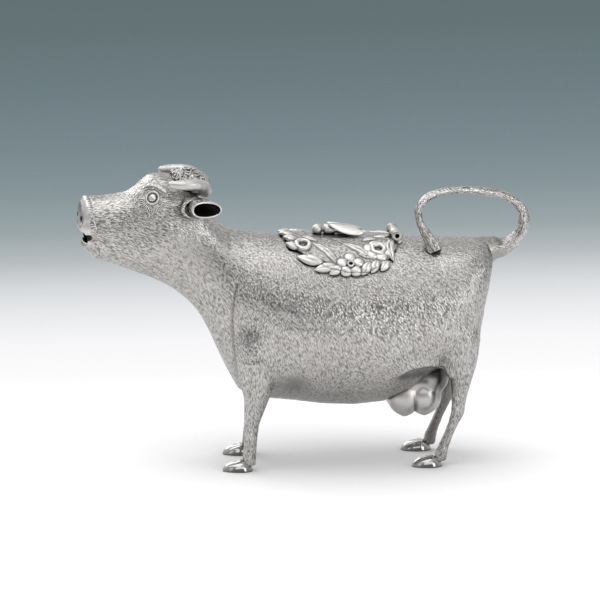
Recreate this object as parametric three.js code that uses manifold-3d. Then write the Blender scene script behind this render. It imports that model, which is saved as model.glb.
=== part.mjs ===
// A silver cream jug in the form of a standing cow: the cow's body is the vessel, its mouth the spout,
// its looped tail the handle, and a hinged lid with a fly on it closes the filling hole in its back.
//
// Millimetres, +Z up. The cow faces -X, its left side is -Y, and it stands on z = 0. The origin is on
// the table, below the middle of the jug's length and width.
import * as THREE from "three";
import { mergeVertices } from "three/addons/utils/BufferGeometryUtils.js";
import Module from "manifold-3d";

// ---- Driving dimensions ----------------------------------------------------------------------------
const WALL = 1.0; // silver sheet of the body, walls drawn a little heavy
const GAP = 0.3; // solder gap between neighbouring pieces
const LID_THICKNESS = 0.7;
const GARLAND_THICKNESS = 1.0;

// The vessel's side view and plan as [x, value] stations from muzzle to rump.
const TOP_LINE = [
  [-75.2, 86.6], [-74.7, 88.8], [-73.2, 90.4], [-68, 90.7], [-61, 91.4], [-57.5, 92.3], [-54, 94.9],
  [-51, 96.7], [-46, 97.3], [-40, 96.6], [-36.5, 94.1], [-33.5, 89.5], [-31, 84.9], [-28, 80.9], [-24, 78.6],
  [-18, 77.4], [-8, 76.3], [4, 75.4], [30, 74.6], [50, 74], [57, 73.7], [61, 72.6], [63.4, 69.6],
];
const BOTTOM_LINE = [
  [-75.2, 80], [-74.7, 77.4], [-73.4, 73.4], [-71.5, 71.5], [-68, 69.5], [-61, 67], [-54.4, 64.5],
  [-48, 61.8], [-42, 58], [-38, 54.6], [-34.5, 50.3], [-31.2, 44.1], [-28, 36.9], [-24.6, 29.9],
  [-21.5, 24.6], [-17, 22.3], [-8, 21.7], [2, 20.2], [12, 19.3], [22, 19.5], [29, 21], [36, 25], [42, 29],
  [48, 32], [54, 35.5], [58, 42], [60.3, 50], [62, 58], [63.4, 64.5],
];
const HALF_WIDTH = [
  [-75.2, 4.4], [-74.7, 5.8], [-73.2, 7.2], [-70, 8], [-64, 8.4], [-58, 9.8], [-52, 11.8], [-46, 12.4],
  [-40, 11.9], [-34, 11.6], [-29, 12.9], [-23, 16], [-16, 19], [-8, 21], [4, 22], [30, 22], [44, 21.5],
  [52, 20], [58, 17], [61.6, 12.5], [63.4, 6.5],
];
const WIDEST_LEVEL = [
  [-75.2, 83.5], [-70, 81], [-60, 80.5], [-52, 83], [-44, 83.5], [-36, 76], [-30, 66], [-24, 57],
  [-16, 51], [-4, 47], [30, 45], [50, 48], [58, 57], [63.4, 66.5],
];
const SECTION_POWER = 2.25; // superellipse exponent of the vessel's cross-sections
const SECTION_STATIONS = [
  -75.2, -74.7, -73.2, -70.5, -66.5, -62, -58, -54.5, -51, -47, -43, -39, -36, -33.5, -31, -28.5, -25.5,
  -22, -18, -12, -4, 6, 16, 26, 34, 41, 47, 52, 56, 59, 61.2, 62.6, 63.4,
];
const SECTION_SIDES = 32;

// The polished muzzle is a cap in front of a sloping plane, and the mouth is a wedge cut through it.
const MUZZLE_PLANE = { top: [-72.3, 91], bottom: [-68.6, 70] };
const MOUTH = { front: -80, corner: -68.9, height: 4.4, level: 77.7, halfWidth: 6.2, throat: -64 };

// Filling hole and lid, as plan outlines [x, y] of the left half, mirrored to the right.
const LID_OUTLINE = [
  [-8, 0], [-7.2, 4], [-5.8, 7.8], [-3.2, 11.6], [0.2, 14.7], [5.5, 16.7], [13, 17.6], [19, 17.4],
  [23.6, 16.2], [27.4, 13.6], [29.6, 10.6], [30.4, 7], [30.6, 0],
];
const HOLE_INSET = 3.6; // the filling hole's edge lies this far inside the lid's
const GARLAND_WIDTH = 6.4;
const BEZEL = { inset: 4.8, width: 0.8, depth: 2.2 };

const HINGE = { x: 30.2, z: 76.2, radius: 1.35, bore: 0.75, pin: 0.67, length: 14.4, middle: 5.6, leaf: 4 };

const LEG_Y = 14;
const RIGHT_FORELEG_BACK = 3.4; // the right foreleg stands this much further back than the left
// Leg sections from top to hoof: height, front x, back x, centre y, half thickness across.
const FORELEG = [
  [50, -23, -10, 12.4, 5], [44, -25, -8.6, 13, 6.1], [38, -25, -9, 13.2, 6.1], [31, -23.4, -10.8, 13.6, 5.1],
  [25.5, -21.8, -12.6, 14, 4.2], [20, -21.4, -14.7, LEG_Y, 3.3], [16, -21.5, -16.4, LEG_Y, 2.8],
  [11, -21.5, -17.1, LEG_Y, 2.35], [6, -22, -17.5, LEG_Y, 2.25], [3.2, -22.4, -17.6, LEG_Y, 2.5],
];
const HIND_LEG = [
  [50, 44.5, 57.4, 11.4, 7.6], [44, 43.6, 57.7, 12.4, 7.8], [38, 43.8, 56.9, 13, 7], [33, 45, 55.5, 13.6, 5.8],
  [28, 47, 53.9, 14, 4.5], [24, 47.4, 52.7, LEG_Y, 3.5], [20.5, 47.5, 52, LEG_Y, 2.9],
  [17.6, 47.2, 51.7, LEG_Y, 2.6], [14, 46.2, 49.7, LEG_Y, 2.2], [11, 45, 48.2, LEG_Y, 2.05],
  [7, 43.1, 46.7, LEG_Y, 2.1], [3.2, 41, 45.6, LEG_Y, 2.5],
];
const LEG_SIDES = 14;
const HOOF = { length: 9.8, width: 8, height: 3.3, heel: 4.7 }; // heel: from the leg's middle to the back
const ANKLE = { fore: -22.9, hind: 40 }; // x of the hoof's highest point

// The tail: path points from the rump round the loop to the tuft soldered on the left of the back, and
// the radius at each.
const TAIL = [
  [57.5, 0, 68.4, 3.4], [62.5, 0, 69.3, 3.1], [67.2, 0, 70.6, 2.6], [71, 0, 73.1, 2.1], [73.1, 0, 76.7, 1.8],
  [73.4, 0, 80.2, 1.65], [72, 0, 83.8, 1.5], [69, 0, 86.5, 1.35], [65, -0.3, 88.2, 1.25],
  [58.4, -1.2, 89.6, 1.15], [51.5, -3, 90.4, 1.1], [45, -5, 90.2, 1.1], [40.1, -6.5, 88.6, 1.1],
  [37.4, -7.6, 85.5, 1.1], [37.2, -8.4, 82.2, 1.1], [38.5, -9.2, 79, 1.35], [40.3, -9.9, 75.7, 1.75],
  [41.8, -10.6, 72.3, 2.1],
];

// Horns: path from the poll, and the radius at each point, for the left one.
const HORN = [
  [-34, -7.5, 93.6, 1.9], [-35.2, -11, 95.4, 1.85], [-38.6, -13.8, 96.3, 1.75], [-42.6, -14.6, 96.2, 1.5],
  [-45.6, -13.6, 96.2, 1.05],
];
// Ears: a scoop from the side of the head, opening outwards: path, and the two radii of its oval.
const EAR = [
  [-39.4, -9.5, 88.6, 1.5, 1.7], [-38, -11.6, 88.5, 1.9, 2.4], [-36.2, -13.8, 88.3, 2.4, 3.5],
  [-34.8, -15.8, 88.1, 2.7, 4.3], [-34, -17.4, 88, 2.75, 4.6],
];
const EAR_WALL = 0.6;
const EYE = { x: -51.2, z: 91.2, ball: 1.5, ring: 2.3, tilt: 0.25 };
const CREST = { x: -38.8, z: 94.4, length: 7.6, width: 8.6, height: 4.4 };

// Udder: four quarters with a teat on each.
const UDDER = { x: [32.6, 39.2], y: 4.6, z: 22.6, quarter: [5.2, 5, 6.4], teat: 2, teatBottom: 15.2 };

// The fly on the lid, head forwards, riveted through the lid.
const FLY = {
  front: 3, back: 18.6, z: 78.4, head: 1.6, thorax: 1.75, wingLength: 12, wingWidth: 4.4, wingRoot: 8,
};
const RIVET = { x: 8.6, shank: 0.7, head: 1.6, under: 74.2 };

// ---- Tools -----------------------------------------------------------------------------------------
const wasm = await Module();
wasm.setup();

const SILVER = { color: 0xc9c7c4, roughness: 0.32, metalness: 1 };
const POLISHED_SILVER = { color: 0xdad8d5, roughness: 0.14, metalness: 1 };

// A closed three.js geometry as a solid that can be joined and cut.
function solid(geometry) {
  const bare = new THREE.BufferGeometry();
  bare.setAttribute("position", geometry.getAttribute("position"));
  if (geometry.index) bare.setIndex(geometry.index);
  const merged = mergeVertices(bare, 1e-4);
  return new wasm.Manifold(
    new wasm.Mesh({
      numProp: 3,
      vertProperties: new Float32Array(merged.attributes.position.array),
      triVerts: new Uint32Array(merged.index.array),
    }),
  );
}

function geometryOf(made) {
  const mesh = made.getMesh();
  const position = new Float32Array(mesh.numVert * 3);
  for (let i = 0; i < mesh.numVert; i++)
    for (let k = 0; k < 3; k++) position[i * 3 + k] = mesh.vertProperties[i * mesh.numProp + k];
  const geometry = new THREE.BufferGeometry();
  geometry.setAttribute("position", new THREE.BufferAttribute(position, 3));
  geometry.setIndex(new THREE.BufferAttribute(new Uint32Array(mesh.triVerts), 1));
  geometry.computeVertexNormals();
  return geometry;
}

// A smooth function of x through [x, value] stations.
function through(stations) {
  const slope = stations.map((_, i) => {
    const a = stations[Math.max(i - 1, 0)];
    const b = stations[Math.min(i + 1, stations.length - 1)];
    return (b[1] - a[1]) / (b[0] - a[0]);
  });
  return (x) => {
    let i = stations.findIndex((s) => s[0] > x) - 1;
    if (i === -2) i = stations.length - 2;
    i = Math.max(i, 0);
    const [[x0, v0], [x1, v1]] = [stations[i], stations[i + 1]];
    const step = x1 - x0;
    const t = THREE.MathUtils.clamp((x - x0) / step, 0, 1);
    const [t2, t3] = [t * t, t * t * t];
    return (
      v0 * (2 * t3 - 3 * t2 + 1) + v1 * (3 * t2 - 2 * t3) +
      step * (slope[i] * (t3 - 2 * t2 + t) + slope[i + 1] * (t3 - t2))
    );
  };
}

// A closed skin over rings of points, each ring with the same number of points and wound the same way.
function loft(rings) {
  const sides = rings[0].length;
  const position = rings.flat().flatMap((p) => [p.x, p.y, p.z]);
  const index = [];
  for (let r = 0; r + 1 < rings.length; r++)
    for (let i = 0; i < sides; i++) {
      const j = (i + 1) % sides;
      const [a, b, c, d] = [r * sides + i, r * sides + j, (r + 1) * sides + j, (r + 1) * sides + i];
      index.push(a, b, c, a, c, d);
    }
  [0, rings.length - 1].forEach((r, end) => {
    const middle = position.length / 3;
    const centre = rings[r].reduce((sum, p) => sum.add(p), new THREE.Vector3()).divideScalar(sides);
    position.push(centre.x, centre.y, centre.z);
    for (let i = 0; i < sides; i++) {
      const j = (i + 1) % sides;
      if (end) index.push(r * sides + i, r * sides + j, middle);
      else index.push(r * sides + j, r * sides + i, middle);
    }
  });
  const geometry = new THREE.BufferGeometry();
  geometry.setAttribute("position", new THREE.Float32BufferAttribute(position, 3));
  geometry.setIndex(index);
  geometry.computeVertexNormals();
  return geometry;
}

// The geometry with every vertex moved along its normal.
function grown(geometry, distance) {
  const moved = geometry.clone();
  const [position, normal] = [moved.attributes.position, geometry.attributes.normal];
  for (let i = 0; i < position.count; i++)
    position.setXYZ(
      i,
      position.getX(i) + normal.getX(i) * distance,
      position.getY(i) + normal.getY(i) * distance,
      position.getZ(i) + normal.getZ(i) * distance,
    );
  return moved;
}

// Oval rings square to a smooth path through [x, y, z, radius, other radius] points. A path that runs
// sideways has its first radius upright and its other one level.
function sweep(points, steps, sides) {
  const path = new THREE.CatmullRomCurve3(points.map((p) => new THREE.Vector3(p[0], p[1], p[2])));
  const frames = path.computeFrenetFrames(steps);
  const radius = through(points.map((p, i) => [i, p[3]]));
  const other = through(points.map((p, i) => [i, p[4] ?? p[3]]));
  const rings = [];
  for (let s = 0; s <= steps; s++) {
    const at = path.getUtoTmapping(s / steps);
    const along = at * (points.length - 1);
    const [u, v] = [frames.normals[s], frames.binormals[s]];
    rings.push(oval(path.getPoint(at), u, v, radius(along), other(along), sides));
  }
  return loft(rings);
}

function oval(centre, u, v, a, b, sides) {
  return Array.from({ length: sides }, (_, i) => {
    const t = (2 * Math.PI * i) / sides;
    return centre.clone().addScaledVector(u, a * Math.cos(t)).addScaledVector(v, b * Math.sin(t));
  });
}

function box(x0, x1, y0, y1, z0, z1) {
  const geometry = new THREE.BoxGeometry(x1 - x0, y1 - y0, z1 - z0);
  return solid(geometry.translate((x0 + x1) / 2, (y0 + y1) / 2, (z0 + z1) / 2));
}

// A shape turned about the Z axis from [radius, z] points.
function turned(profile, sides = 24) {
  const points = profile.map(([r, z]) => new THREE.Vector2(r, z));
  return new THREE.LatheGeometry(points, sides).rotateX(Math.PI / 2);
}

// A vertical prism over a plan outline of the left half, mirrored to the right.
function prism(outline, z0, z1) {
  const left = outline.map(([x, y]) => new THREE.Vector2(x, -y));
  const right = outline.filter(([, y]) => y > 0).map(([x, y]) => new THREE.Vector2(x, y)).reverse();
  const shape = new THREE.Shape([...left, ...right]);
  const block = new THREE.ExtrudeGeometry(shape, { depth: z1 - z0, bevelEnabled: false });
  return solid(block.translate(0, 0, z0));
}

// The outline drawn in towards its middle by a distance.
function inset(outline, distance) {
  const xs = outline.map(([x]) => x);
  const [low, high] = [Math.min(...xs), Math.max(...xs)];
  const [middle, halfLength] = [(low + high) / 2, (high - low) / 2];
  const halfWidth = Math.max(...outline.map(([, y]) => y));
  return outline.map(([x, y]) => [
    middle + (x - middle) * (1 - distance / halfLength),
    y * (1 - distance / halfWidth),
  ]);
}

function mirrored(made) {
  return made.mirror([0, 1, 0]);
}

const group = new THREE.Group();
function add(name, made, look = SILVER) {
  const mesh = new THREE.Mesh(geometryOf(made), new THREE.MeshStandardMaterial(look));
  mesh.name = name;
  group.add(mesh);
}

// ---- The vessel ------------------------------------------------------------------------------------
function vesselGeometry() {
  const [top, bottom, width, level] = [TOP_LINE, BOTTOM_LINE, HALF_WIDTH, WIDEST_LEVEL].map(through);
  const power = 2 / SECTION_POWER;
  const rings = SECTION_STATIONS.map((x) =>
    Array.from({ length: SECTION_SIDES }, (_, i) => {
      const t = (2 * Math.PI * i) / SECTION_SIDES;
      const [s, c] = [Math.sin(t), Math.cos(t)];
      const height = c > 0 ? top(x) - level(x) : level(x) - bottom(x);
      const y = width(x) * Math.sign(s) * Math.abs(s) ** power;
      return new THREE.Vector3(x, -y, level(x) + height * Math.sign(c) * Math.abs(c) ** power);
    }),
  );
  return loft(rings);
}

const vessel = vesselGeometry();
const skin = (distance) => solid(grown(vessel, distance));
const outside = skin(0);
const clearOfVessel = skin(GAP);

// The part of a piece that stands outside the vessel, clear of it by the solder gap.
function outsideVessel(made) {
  const pieces = made.subtract(clearOfVessel).decompose();
  return pieces.sort((a, b) => b.volume() - a.volume())[0];
}

// A big block in front of the sloping plane where the muzzle cap meets the cheeks.
function muzzleBlock(shift) {
  const { top, bottom } = MUZZLE_PLANE;
  const slope = (top[0] - bottom[0]) / (top[1] - bottom[1]);
  const [low, high, far, half] = [50, 110, -90, 20];
  const edge = (z) => bottom[0] + slope * (z - bottom[1]) + shift;
  const shape = new THREE.Shape([
    new THREE.Vector2(far, low), new THREE.Vector2(edge(low), low),
    new THREE.Vector2(edge(high), high), new THREE.Vector2(far, high),
  ]);
  const geometry = new THREE.ExtrudeGeometry(shape, { depth: 2 * half, bevelEnabled: false });
  return solid(geometry.translate(0, 0, -half).rotateX(Math.PI / 2));
}

// The open mouth: a flat wedge from the lips to its corner, then a round throat into the vessel.
function mouthCut() {
  const { front, corner, height, level, halfWidth, throat } = MOUTH;
  const shape = new THREE.Shape();
  shape.moveTo(front, -halfWidth);
  shape.lineTo(corner - halfWidth, -halfWidth);
  shape.quadraticCurveTo(corner, -halfWidth, corner, 0);
  shape.quadraticCurveTo(corner, halfWidth, corner - halfWidth, halfWidth);
  shape.lineTo(front, halfWidth);
  const slot = new THREE.ExtrudeGeometry(shape, { depth: height, bevelEnabled: false, curveSegments: 8 });
  const way = box(front, throat, -halfWidth * 0.6, halfWidth * 0.6, level - height / 2, level + height / 2);
  return solid(slot.translate(0, 0, level - height / 2)).add(way);
}

function addVessel() {
  const hole = prism(inset(LID_OUTLINE, HOLE_INSET), 60, 90);
  const shell = outside.subtract(skin(-WALL)).subtract(hole).subtract(mouthCut());
  const halves = shell.subtract(muzzleBlock(GAP));
  const big = 100;
  add("body_left", halves.intersect(box(-big, big, -big, -GAP / 2, -big, 2 * big)));
  add("body_right", halves.intersect(box(-big, big, GAP / 2, big, -big, 2 * big)));
  add("muzzle", shell.intersect(muzzleBlock(0)), POLISHED_SILVER);
}

// ---- Legs, hooves and udder ------------------------------------------------------------------------
function legSolid(sections, back = 0) {
  const rings = sections.map(([z, front, rear, y, half]) =>
    oval(
      new THREE.Vector3((front + rear) / 2 + back, -y, z),
      new THREE.Vector3(1, 0, 0), new THREE.Vector3(0, 1, 0), (rear - front) / 2, half, LEG_SIDES,
    ),
  );
  return outsideVessel(solid(loft(rings.reverse())));
}

// A domed shoe, flat below, its toe drawn out forwards.
function hoofSolid(x) {
  const { length, width, height, heel } = HOOF;
  const [levels, sides] = [4, 18];
  const rings = [];
  for (let k = 0; k <= levels; k++) {
    const rise = Math.sin((k / levels) * (Math.PI / 2));
    const shrink = Math.sqrt(Math.max(1 - (rise * 0.93) ** 2, 0));
    const toe = length - heel;
    rings.push(
      Array.from({ length: sides }, (_, i) => {
        const t = (2 * Math.PI * i) / sides;
        const reach = Math.cos(t) < 0 ? toe : heel * 0.9;
        return new THREE.Vector3(
          x + shrink * reach * Math.cos(t), -LEG_Y + shrink * (width / 2) * Math.sin(t), rise * height * 0.93,
        );
      }),
    );
  }
  return solid(loft(rings));
}

function addLegs() {
  const kinds = [
    ["foreleg", FORELEG, ANKLE.fore, RIGHT_FORELEG_BACK],
    ["hind_leg", HIND_LEG, ANKLE.hind, 0],
  ];
  for (const [name, sections, ankle, rightBack] of kinds)
    for (const [side, back] of [["left", 0], ["right", rightBack]]) {
      const place = side === "left" ? (made) => made : mirrored;
      const hoof = hoofSolid(ankle + back);
      const clear = hoof.translate([0, 0, GAP]);
      add(`${name}_${side}`, place(legSolid(sections, back).subtract(clear)));
      add(`${name.replace("_leg", "").replace("leg", "")}_hoof_${side}`, place(hoof), POLISHED_SILVER);
    }
}

function addUdder() {
  const { x, y, z, quarter, teat, teatBottom } = UDDER;
  let udder = null;
  for (const qx of x)
    for (const qy of [-y, y]) {
      const lobe = new THREE.SphereGeometry(1, 12, 7).rotateX(Math.PI / 2);
      lobe.scale(...quarter).translate(qx, qy, z);
      const tip = new THREE.SphereGeometry(teat, 10, 6).translate(qx, qy * 1.15, teatBottom + teat);
      const piece = solid(lobe).add(solid(tip));
      udder = udder ? udder.add(piece) : piece;
    }
  const core = new THREE.SphereGeometry(1, 12, 8).scale(8, 7.5, 7).translate((x[0] + x[1]) / 2, 0, z + 4);
  add("udder", outsideVessel(udder.add(solid(core))), POLISHED_SILVER);
}

// ---- Head --------------------------------------------------------------------------------------------
function earSolid() {
  const inner = EAR.slice(1).map(([x, y, z, a, b]) => [x, y - 0.2, z, a - EAR_WALL, b - EAR_WALL]);
  const last = EAR[EAR.length - 1];
  inner.push([last[0] + 0.3, last[1] - 2, last[2], last[3] - EAR_WALL, last[4] - EAR_WALL]);
  return outsideVessel(solid(sweep(EAR, 6, 16)).subtract(solid(sweep(inner, 6, 16))));
}

// A bead in a ring, set on the side of the head.
function eyeSolid() {
  const { x, z, ball, ring, tilt } = EYE;
  const depth = 3;
  const steps = 3;
  const dome = Array.from({ length: steps + 1 }, (_, i) => {
    const t = (i / steps) * (Math.PI / 2);
    return [ball * Math.cos(t), 0.35 + ball * 0.75 * Math.sin(t)];
  });
  const profile = [[0, -depth], [ring, -depth], [ring, 0.2], [ring - 0.3, 0.55], [ball + 0.15, 0.2], ...dome];
  profile[profile.length - 1][0] = 0;
  const geometry = turned(profile, 14);
  geometry.rotateX(Math.PI / 2 + tilt).translate(x, -10.9, z);
  return outsideVessel(solid(geometry));
}

function addHead() {
  const horn = outsideVessel(solid(sweep(HORN, 9, 10)));
  const { x, z, length, width, height } = CREST;
  const dome = solid(new THREE.SphereGeometry(1, 18, 10).scale(length, width, height).translate(x, 0, z));
  const hornRoom = solid(grown(sweep(HORN, 9, 10), GAP));
  const crest = outsideVessel(dome.subtract(hornRoom).subtract(mirrored(hornRoom)));
  const ear = earSolid();
  const eye = eyeSolid();
  for (const [side, place] of [["left", (made) => made], ["right", mirrored]]) {
    add(`horn_${side}`, place(horn), POLISHED_SILVER);
    add(`ear_${side}`, place(ear));
    add(`eye_${side}`, place(eye), POLISHED_SILVER);
  }
  add("poll_garland", crest);
}

// ---- Tail handle --------------------------------------------------------------------------------------
function addTail() {
  add("tail_handle", outsideVessel(solid(sweep(TAIL, 48, 10))));
}

// ---- Lid, hinge and fly ---------------------------------------------------------------------------------
const LID_UNDER = GAP;
const LID_TOP = LID_UNDER + LID_THICKNESS;
const GARLAND_UNDER = LID_TOP + 0.25;
const GARLAND_TOP = GARLAND_UNDER + GARLAND_THICKNESS;

// A cylinder along Y between two y values.
function rod(radius, y0, y1, sides = 20) {
  const geometry = new THREE.CylinderGeometry(radius, radius, y1 - y0, sides);
  return solid(geometry.translate(HINGE.x, (y0 + y1) / 2, HINGE.z));
}

function addLid() {
  const above = [60, 90];
  const plate = skin(LID_TOP).subtract(skin(LID_UNDER)).intersect(prism(LID_OUTLINE, ...above));
  const rivetHole = solid(turned([[0, 60], [RIVET.shank + 0.25, 60], [RIVET.shank + 0.25, 90], [0, 90]], 16)
    .translate(RIVET.x, 0, 0));
  const reach = HINGE.length / 2 + 1;
  const hingeRoom = box(HINGE.x - HINGE.radius - 0.7, HINGE.x + 5, -reach, reach, ...above);
  add("lid_plate", plate.subtract(rivetHole).subtract(hingeRoom));

  const band = prism(LID_OUTLINE, ...above).subtract(prism(inset(LID_OUTLINE, GARLAND_WIDTH), ...above));
  const leafHalf = HINGE.middle / 2 + GAP;
  const leafRoom = box(HINGE.x - HINGE.leaf - GAP, HINGE.x, -leafHalf, leafHalf, ...above);
  const garland = skin(GARLAND_TOP).subtract(skin(GARLAND_UNDER)).intersect(band);
  add("lid_garland", garland.subtract(hingeRoom).subtract(leafRoom), POLISHED_SILVER);

  const ring = prism(inset(LID_OUTLINE, BEZEL.inset), ...above)
    .subtract(prism(inset(LID_OUTLINE, BEZEL.inset + BEZEL.width), ...above));
  add("lid_bezel", ring.intersect(outside).subtract(skin(-BEZEL.depth)), POLISHED_SILVER);
}

function addHinge() {
  const { x, z, radius, bore, pin, length, middle, leaf } = HINGE;
  const end = length / 2;
  const hole = rod(bore, -length, length, 16);
  const outer = [[-end, -middle / 2 - GAP], [middle / 2 + GAP, end]];
  ["left", "right"].forEach((side, i) => {
    const [y0, y1] = outer[i];
    const foot = box(x - 0.3, x + 2.6, y0, y1, z - 3.4, z - 0.6);
    const knuckle = rod(radius, y0, y1).add(foot).subtract(hole);
    add(`hinge_knuckle_${side}`, outsideVessel(knuckle), POLISHED_SILVER);
  });
  const slab = box(x - leaf, x - 0.4, -middle / 2, middle / 2, z - 1.5, z + 1.2)
    .subtract(skin(GARLAND_UNDER)).intersect(skin(GARLAND_TOP));
  add("hinge_knuckle_lid", rod(radius, -middle / 2, middle / 2).add(slab).subtract(hole), POLISHED_SILVER);
  add("hinge_pin", rod(pin, -end + GAP, end - GAP, 16), POLISHED_SILVER);
}

function addFly() {
  const { front, back, z, head, thorax, wingLength, wingWidth, wingRoot } = FLY;
  // Head, neck, thorax and abdomen as [radius, x] stations.
  const neck = front + 2 * head;
  const stations = [
    [0.1, front], [head * 0.7, front + head * 0.3], [head, front + head], [head * 0.7, neck - head * 0.3],
    [0.8, neck], [1.5, neck + 0.7], [thorax, neck + 2], [1.6, neck + 3.6], [1.25, neck + 4.6],
    [1.5, neck + 6], [1.45, neck + 8], [1, neck + 10.4], [0.1, back],
  ];
  const [across, up] = [new THREE.Vector3(0, 1, 0), new THREE.Vector3(0, 0, 1)];
  const body = loft(stations.map(([r, x]) => oval(new THREE.Vector3(x, 0, z), across, up, r, r, 16)));
  add("fly_body", solid(body).subtract(skin(GARLAND_UNDER)), POLISHED_SILVER);

  const wing = new THREE.Shape();
  wing.moveTo(0, 0);
  wing.bezierCurveTo(2, -wingWidth * 0.5, wingLength * 0.8, -wingWidth * 0.7, wingLength, 0);
  wing.bezierCurveTo(wingLength * 0.8, wingWidth * 0.55, 2, wingWidth * 0.4, 0, 0);
  const geometry = new THREE.ExtrudeGeometry(wing, { depth: 0.6, bevelEnabled: false, curveSegments: 8 });
  const [droop, dip, splay] = [-0.5, 0.07, -0.16];
  geometry.rotateX(droop).rotateY(dip).rotateZ(splay).translate(wingRoot, -2.5, z + 0.6);
  const left = solid(geometry).subtract(solid(grown(body, GAP)));
  add("fly_wing_left", left, POLISHED_SILVER);
  add("fly_wing_right", mirrored(left), POLISHED_SILVER);
}

function addRivet() {
  const { x, shank, head, under } = RIVET;
  const tip = FLY.z - FLY.thorax - GAP;
  const profile = [[0, under], [head, under], [head, under + 0.4], [shank, under + 0.8], [shank, tip], [0, tip]];
  add("fly_rivet", solid(turned(profile, 16).translate(x, 0, 0)), POLISHED_SILVER);
}

addVessel();
addLegs();
addUdder();
addHead();
addTail();
addLid();
addHinge();
addFly();
addRivet();

export default group;
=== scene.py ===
"""A silver cream jug in the form of a cow: chased hair coat, polished hooves, muzzle and udder, a lid with a
garland and a fly, and a looped tail. Shapes are worked out in millimetres and stored in metres."""

import math

import bmesh
import bpy
import numpy as np
from mathutils import Matrix, Vector, kdtree
from mathutils.bvhtree import BVHTree


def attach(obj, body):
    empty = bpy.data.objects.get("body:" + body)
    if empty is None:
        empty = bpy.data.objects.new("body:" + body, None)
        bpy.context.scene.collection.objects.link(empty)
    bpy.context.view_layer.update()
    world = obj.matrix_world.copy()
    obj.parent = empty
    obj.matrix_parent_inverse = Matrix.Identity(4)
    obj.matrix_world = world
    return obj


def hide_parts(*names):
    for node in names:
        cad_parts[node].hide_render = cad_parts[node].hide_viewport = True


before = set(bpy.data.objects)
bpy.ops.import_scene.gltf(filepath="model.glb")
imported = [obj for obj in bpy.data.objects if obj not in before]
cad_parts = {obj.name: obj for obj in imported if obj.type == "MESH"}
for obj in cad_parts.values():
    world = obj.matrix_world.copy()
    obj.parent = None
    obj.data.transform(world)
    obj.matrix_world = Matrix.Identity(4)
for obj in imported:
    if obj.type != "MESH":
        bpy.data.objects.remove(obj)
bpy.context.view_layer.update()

MM = 0.001
rng = np.random.default_rng(7)

# Strokes of the chaser's tool that make the hair, in mm.
STROKE_LENGTH = 1.8
STROKE_WIDTH = 0.46
STROKE_HEIGHT = 0.105
HAIR_COVER = 1.4  # strokes per stroke-sized patch of surface

# The way the hair lies, seen from the side: [x, z, angle above +X in degrees].
HAIR_FLOW = [
    (-72, 88, 4), (-62, 90, 6), (-62, 80, -14), (-66, 72, -38), (-54, 95, 26), (-52, 84, -30), (-40, 96, 5),
    (-55, 68, -34), (-42, 75, -48), (-42, 62, -48), (-32, 80, -46), (-28, 62, -60), (-30, 45, -64),
    (-18, 76, -24), (-14, 64, -58), (-16, 50, -78), (-18, 30, -86), (-18, 10, -92), (5, 60, -68),
    (5, 40, -74), (5, 25, -62), (15, 74, -30), (25, 62, -52), (30, 45, -66), (28, 26, -40), (38, 73, -26),
    (46, 60, -58), (55, 71, -48), (60, 62, -76), (50, 50, -76), (58, 46, -86), (50, 36, -84), (50, 22, -88),
    (45, 8, -118),
]

# Shoulder and flank creases, as [x, z] on both sides.
SHOULDER_CREASE = [(-24.3, 63), (-25.4, 57), (-25.9, 51), (-25.5, 43), (-24.3, 35), (-22.8, 28)]
FLANK_FOLD = [(29, 32), (34, 34.6), (40, 35.2), (44, 34), (46.8, 30.6)]
EYE = (-51.2, 91.2)  # x and z
SIDES = (("left", -1), ("right", 1))  # and the sign of Y there


# ---- Meshes ----
def new_object(name, data):
    obj = bpy.data.objects.new(name, data)
    bpy.context.scene.collection.objects.link(obj)
    return obj


def mesh_object(name, verts, faces, material):
    """An object from points in mm and faces that index them."""
    mesh = bpy.data.meshes.new(name)
    mesh.from_pydata([Vector(v) * MM for v in verts], [], faces)
    mesh.update()
    mesh.shade_smooth()
    mesh.materials.append(material)
    return new_object(name, mesh)


def solid(name, verts, faces, material):
    """An object from the points and faces of a closed surface, with its faces turned outwards."""
    obj = mesh_object(name, verts, faces, material)
    work = bmesh.new()
    work.from_mesh(obj.data)
    bmesh.ops.recalc_face_normals(work, faces=work.faces)
    work.to_mesh(obj.data)
    work.free()
    return obj


def place(obj, body, slot, *nodes):
    """Says which body a piece rides and which CAD nodes it stands for, if any. The slot, its finish, is not
    used.
    """
    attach(obj, body)
    if nodes:
        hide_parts(*nodes)


def mesh_from(work, name):
    """A new mesh from a bmesh, which is freed."""
    mesh = bpy.data.meshes.new(name)
    work.to_mesh(mesh)
    work.free()
    return mesh


def welded(*nodes):
    """The CAD nodes' meshes joined, with the doubled points merged."""
    joined = bmesh.new()
    for node in nodes:
        joined.from_mesh(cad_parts[node].data)
    bmesh.ops.remove_doubles(joined, verts=joined.verts, dist=1e-6)
    return mesh_from(joined, "welded")


def skinned(name, mesh, voxel, smooth, swell=0.0, material=None):
    """One smooth skin over a mesh: swollen until its gaps close, remeshed, smoothed and shrunk back."""
    obj = new_object(name, mesh)
    if swell:
        grow = obj.modifiers.new("swell", "DISPLACE")
        grow.strength = swell * MM
        grow.mid_level = 0
    remesh = obj.modifiers.new("remesh", "REMESH")
    remesh.mode = "VOXEL"
    remesh.voxel_size = voxel * MM
    relax = obj.modifiers.new("smooth", "SMOOTH")
    relax.factor = 0.6
    relax.iterations = smooth
    if swell:
        shrink = obj.modifiers.new("shrink", "DISPLACE")
        shrink.strength = -swell * MM
        shrink.mid_level = 0
    bpy.context.view_layer.update()
    made = bpy.data.meshes.new_from_object(obj.evaluated_get(bpy.context.evaluated_depsgraph_get()))
    obj.modifiers.clear()
    obj.data = made
    made.name = name
    made.materials.clear()
    if material:
        made.materials.append(material)
    made.shade_smooth()
    return obj


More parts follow.
